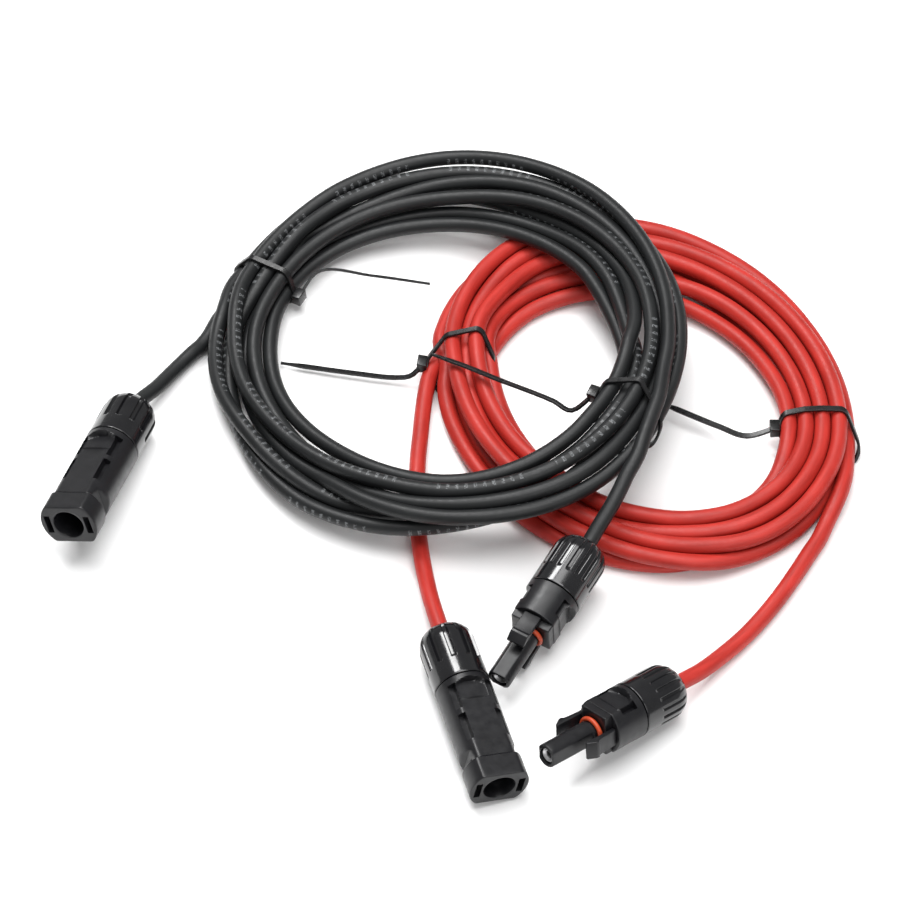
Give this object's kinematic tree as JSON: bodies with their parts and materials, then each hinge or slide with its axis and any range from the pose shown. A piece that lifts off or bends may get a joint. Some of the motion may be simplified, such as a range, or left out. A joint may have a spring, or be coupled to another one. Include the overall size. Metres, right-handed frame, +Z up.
{
  "type": "solar cable connector",
  "caption": "Coiled black and red solar extension cables, each ending in a shell connector and a probe connector with screw cap nuts, held in coils by thin cable ties.",
  "frame": {"origin": "middle of the footprint of the connectors, on the surface they lie on", "axes": "+Z up; +X across the coils from the black one to the red one; the connectors' mating ends point towards -Y"},
  "size_m": [0.2688, 0.2576, 0.0319],
  "materials": {
    "nylon": "satin",
    "gloss_nylon": "glossy",
    "jacket_black": "satin",
    "jacket_red": "satin",
    "tie_nylon": "glossy",
    "seal_rubber": "matt",
    "ring_rubber": "satin",
    "tin": "bright tin",
    "copper": "bare copper",
    "spring_steel": "satin"
  },
  "bodies": {
    "base": {"black_shell_housing": "nylon", "black_shell_pin_contact": "tin", "black_shell_cable_seal": "seal_rubber", "black_shell_conductor_end": "copper", "black_shell_contact_clip": "spring_steel", "black_probe_housing": "nylon", "black_probe_socket_contact": "tin", "black_probe_cable_seal": "seal_rubber", "black_probe_conductor_end": "copper", "black_probe_contact_clip": "spring_steel", "black_probe_probe_ring": "ring_rubber", "red_shell_housing": "nylon", "red_shell_pin_contact": "tin", "red_shell_cable_seal": "seal_rubber", "red_shell_conductor_end": "copper", "red_shell_contact_clip": "spring_steel", "red_probe_housing": "nylon", "red_probe_socket_contact": "tin", "red_probe_cable_seal": "seal_rubber", "red_probe_conductor_end": "copper", "red_probe_contact_clip": "spring_steel", "red_probe_probe_ring": "ring_rubber", "black_cable_coil": "jacket_black", "black_cable_lead_shell": "jacket_black", "black_cable_lead_probe": "jacket_black", "black_tie_left": "tie_nylon", "black_tie_right": "tie_nylon", "red_cable_coil": "jacket_red", "red_cable_lead_shell": "jacket_red", "red_cable_lead_probe": "jacket_red", "red_tie_left": "tie_nylon", "red_tie_right": "tie_nylon"},
    "black_shell_nut": {"black_shell_cap_nut": "gloss_nylon"},
    "black_shell_cage": {"black_shell_clamp_cage": "nylon"},
    "black_probe_nut": {"black_probe_cap_nut": "gloss_nylon"},
    "black_probe_cage": {"black_probe_clamp_cage": "nylon"},
    "black_probe_finger_a": {"black_probe_latch_finger_a": "nylon"},
    "black_probe_finger_b": {"black_probe_latch_finger_b": "nylon"},
    "red_shell_nut": {"red_shell_cap_nut": "gloss_nylon"},
    "red_shell_cage": {"red_shell_clamp_cage": "nylon"},
    "red_probe_nut": {"red_probe_cap_nut": "gloss_nylon"},
    "red_probe_cage": {"red_probe_clamp_cage": "nylon"},
    "red_probe_finger_a": {"red_probe_latch_finger_a": "nylon"},
    "red_probe_finger_b": {"red_probe_latch_finger_b": "nylon"}
  },
  "joints": [
    {"name": "black_shell_nut_travel", "type": "slide", "parent": "base", "child": "black_shell_cage", "axis": [0.3017, 0.9341, -0.1908], "range_m": [0, 0.006]},
    {"name": "black_shell_nut_turn", "type": "hinge", "parent": "black_shell_cage", "child": "black_shell_nut", "pos_m": [-0.07945, 0.06652, 0.00984], "axis": [0.3017, 0.9341, -0.1908], "range_deg": [0, 1082]},
    {"name": "black_probe_nut_travel", "type": "slide", "parent": "base", "child": "black_probe_cage", "axis": [0.5069, 0.8572, 0.0906], "range_m": [0, 0.004]},
    {"name": "black_probe_nut_turn", "type": "hinge", "parent": "black_probe_cage", "child": "black_probe_nut", "pos_m": [0.0679, 0.00499, 0.01409], "axis": [0.5069, 0.8572, 0.0906], "range_deg": [0, 722]},
    {"name": "black_probe_finger_a_flex", "type": "hinge", "parent": "base", "child": "black_probe_finger_a", "pos_m": [0.05541, -0.01614, 0.01899], "axis": [0.8607, -0.509, 0], "range_deg": [0, 6], "stiffness_Nm_per_rad": 0.05},
    {"name": "black_probe_finger_b_flex", "type": "hinge", "parent": "base", "child": "black_probe_finger_b", "pos_m": [0.05606, -0.01503, 0.00485], "axis": [-0.8607, 0.509, 0], "range_deg": [0, 6], "stiffness_Nm_per_rad": 0.05},
    {"name": "red_shell_nut_travel", "type": "slide", "parent": "base", "child": "red_shell_cage", "axis": [-0.2924, 0.9563, 0], "range_m": [0, 0.006]},
    {"name": "red_shell_nut_turn", "type": "hinge", "parent": "red_shell_cage", "child": "red_shell_nut", "pos_m": [0.02959, -0.0267, 0.00918], "axis": [-0.2924, 0.9563, 0], "range_deg": [0, 1082]},
    {"name": "red_probe_nut_travel", "type": "slide", "parent": "base", "child": "red_probe_cage", "axis": [0.7548, 0.6222, -0.2079], "range_m": [0, 0.006]},
    {"name": "red_probe_nut_turn", "type": "hinge", "parent": "red_probe_cage", "child": "red_probe_nut", "pos_m": [0.09382, -0.04116, 0.01008], "axis": [0.7548, 0.6222, -0.2079], "range_deg": [0, 1082]},
    {"name": "red_probe_finger_a_flex", "type": "hinge", "parent": "base", "child": "red_probe_finger_a", "pos_m": [0.08035, -0.06101, 0.01722], "axis": [0.044, -0.3642, -0.9303], "range_deg": [0, 6], "stiffness_Nm_per_rad": 0.05},
    {"name": "red_probe_finger_b_flex", "type": "hinge", "parent": "base", "child": "red_probe_finger_b", "pos_m": [0.07106, -0.05117, 0.01292], "axis": [-0.044, 0.3642, 0.9303], "range_deg": [0, 6], "stiffness_Nm_per_rad": 0.05}
  ],
  "couplings": [
    {"joint": "black_shell_nut_turn", "follows": "black_shell_nut_travel", "rad_per_m": 3141.6},
    {"joint": "black_probe_nut_turn", "follows": "black_probe_nut_travel", "rad_per_m": 3141.6},
    {"joint": "red_shell_nut_turn", "follows": "red_shell_nut_travel", "rad_per_m": 3141.6},
    {"joint": "red_probe_nut_turn", "follows": "red_probe_nut_travel", "rad_per_m": 3141.6}
  ]
}
